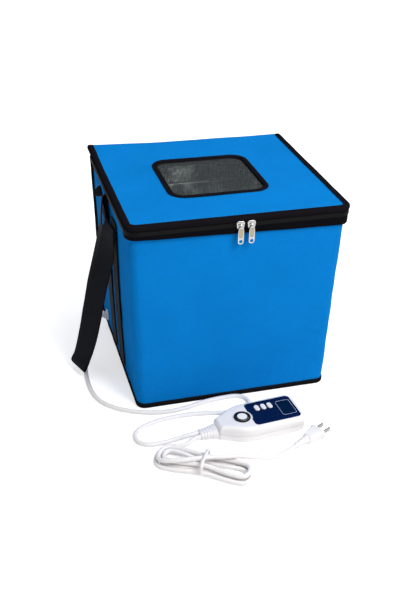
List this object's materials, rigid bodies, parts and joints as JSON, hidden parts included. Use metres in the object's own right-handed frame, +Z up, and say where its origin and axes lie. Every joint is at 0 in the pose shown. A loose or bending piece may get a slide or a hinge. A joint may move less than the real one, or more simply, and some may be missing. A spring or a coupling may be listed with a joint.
{
  "type": "folding dough proofer",
  "caption": "Soft insulated box with a zipped lid and clear window, carry loops, a floor heating mat, and a hand controller on a lead with a tied mains cord and plug.",
  "frame": {"origin": "middle of the box's underside, on the surface it stands on", "axes": "+X along the front to the right, +Y to the back, +Z up"},
  "size_m": [0.4354, 0.4982, 0.2992],
  "materials": {
    "blue_fabric": "fine woven polyester",
    "foam": "closed-cell foam",
    "foil": "crinkled foil",
    "board": "stiff board",
    "mat": "matt heating mat",
    "binding": "ribbed charcoal binding tape",
    "zip_tape": "black zip tape",
    "webbing": "black woven webbing",
    "zip_metal": "bright nickel",
    "clear_film": "clear vinyl",
    "white_plastic": "smooth white plastic",
    "navy_panel": "dark blue overlay",
    "dark_lens": "tinted display lens",
    "black_plastic": "black plastic",
    "circuit": "green board",
    "screw_steel": "zinc plated",
    "rubber": "black rubber",
    "white_rubber": "white soft vinyl",
    "cord": "white cord jacket",
    "blade_metal": "plated brass"
  },
  "bodies": {
    "root": {"base_fabric": "blue_fabric", "base_board": "board", "base_foam": "foam", "base_liner": "foil", "heating_mat": "mat", "base_binding": "binding", "wall_fabric": "blue_fabric", "back_fabric": "blue_fabric", "foam_front": "foam", "foam_back": "foam", "foam_left": "foam", "foam_right": "foam", "wall_liner": "foil", "corner_bindings": "binding", "webbing_left": "webbing", "webbing_right": "webbing", "lead_grommet": "rubber", "lead_cord": "cord", "controller_base": "white_plastic", "controller_cover": "white_plastic", "control_panel": "navy_panel", "display_window": "dark_lens", "power_ring": "black_plastic", "circuit_board": "circuit", "controller_screws": "screw_steel", "strain_relief": "white_rubber", "mains_cord": "cord", "cord_hank": "cord", "plug_cord": "cord", "cord_tie": "black_plastic", "plug_body": "white_rubber", "plug_relief": "white_rubber", "plug_blades": "blade_metal"},
    "rim": {"rim_tape": "zip_tape", "lower_teeth": "zip_tape", "hinge_strip": "binding"},
    "lid": {"lid_fabric": "blue_fabric", "lid_foam": "foam", "lid_liner": "foil", "window_film": "clear_film", "window_binding": "binding", "lid_binding": "binding", "upper_tape": "zip_tape", "upper_teeth": "zip_tape"},
    "slider_left": {"slider_left": "zip_metal"},
    "pull_left": {"pull_left": "zip_metal"},
    "handle_left": {"handle_left": "webbing"},
    "slider_right": {"slider_right": "zip_metal"},
    "pull_right": {"pull_right": "zip_metal"},
    "handle_right": {"handle_right": "webbing"},
    "power_button": {"power_button": "white_plastic"},
    "mode_button": {"mode_button": "white_plastic"},
    "down_button": {"down_button": "white_plastic"},
    "up_button": {"up_button": "white_plastic"}
  },
  "joints": [
    {"name": "collapse", "type": "slide", "parent": "root", "child": "rim", "axis": [0, 0, -1], "range_m": [0, 0.2], "deforming": ["wall_fabric", "back_fabric", "foam_front", "foam_back", "foam_left", "foam_right", "wall_liner", "corner_bindings", "webbing_left", "webbing_right", "handle_left", "handle_right"]},
    {"name": "lid_hinge", "type": "hinge", "parent": "rim", "child": "lid", "pos_m": [0, 0.1514, 0.2888], "axis": [-1, 0, 0], "range_deg": [0, 180]},
    {"name": "slider_left_slide", "type": "slide", "parent": "rim", "child": "slider_left", "axis": [-1, 0, 0], "range_m": [0, 0.118]},
    {"name": "slider_right_slide", "type": "slide", "parent": "rim", "child": "slider_right", "axis": [1, 0, 0], "range_m": [0, 0.11]},
    {"name": "pull_left_swing", "type": "hinge", "parent": "slider_left", "child": "pull_left", "pos_m": [-0.0035, -0.158, 0.2891], "axis": [-1, 0, 0], "range_deg": [0, 160]},
    {"name": "pull_right_swing", "type": "hinge", "parent": "slider_right", "child": "pull_right", "pos_m": [0.012, -0.158, 0.2891], "axis": [-1, 0, 0], "range_deg": [0, 160]},
    {"name": "handle_left_swing", "type": "hinge", "parent": "root", "child": "handle_left", "pos_m": [-0.1688, 0, 0.258], "axis": [0, 1, 0], "range_deg": [0, 150]},
    {"name": "handle_right_swing", "type": "hinge", "parent": "root", "child": "handle_right", "pos_m": [0.1688, 0, 0.258], "axis": [0, -1, 0], "range_deg": [0, 150]},
    {"name": "power_button_press", "type": "slide", "parent": "root", "child": "power_button", "axis": [0, 0, -1], "range_m": [0, 0.0006], "stiffness_N_per_m": 700},
    {"name": "mode_button_press", "type": "slide", "parent": "root", "child": "mode_button", "axis": [0, 0, -1], "range_m": [0, 0.0006], "stiffness_N_per_m": 700},
    {"name": "down_button_press", "type": "slide", "parent": "root", "child": "down_button", "axis": [0, 0, -1], "range_m": [0, 0.0006], "stiffness_N_per_m": 700},
    {"name": "up_button_press", "type": "slide", "parent": "root", "child": "up_button", "axis": [0, 0, -1], "range_m": [0, 0.0006], "stiffness_N_per_m": 700}
  ]
}
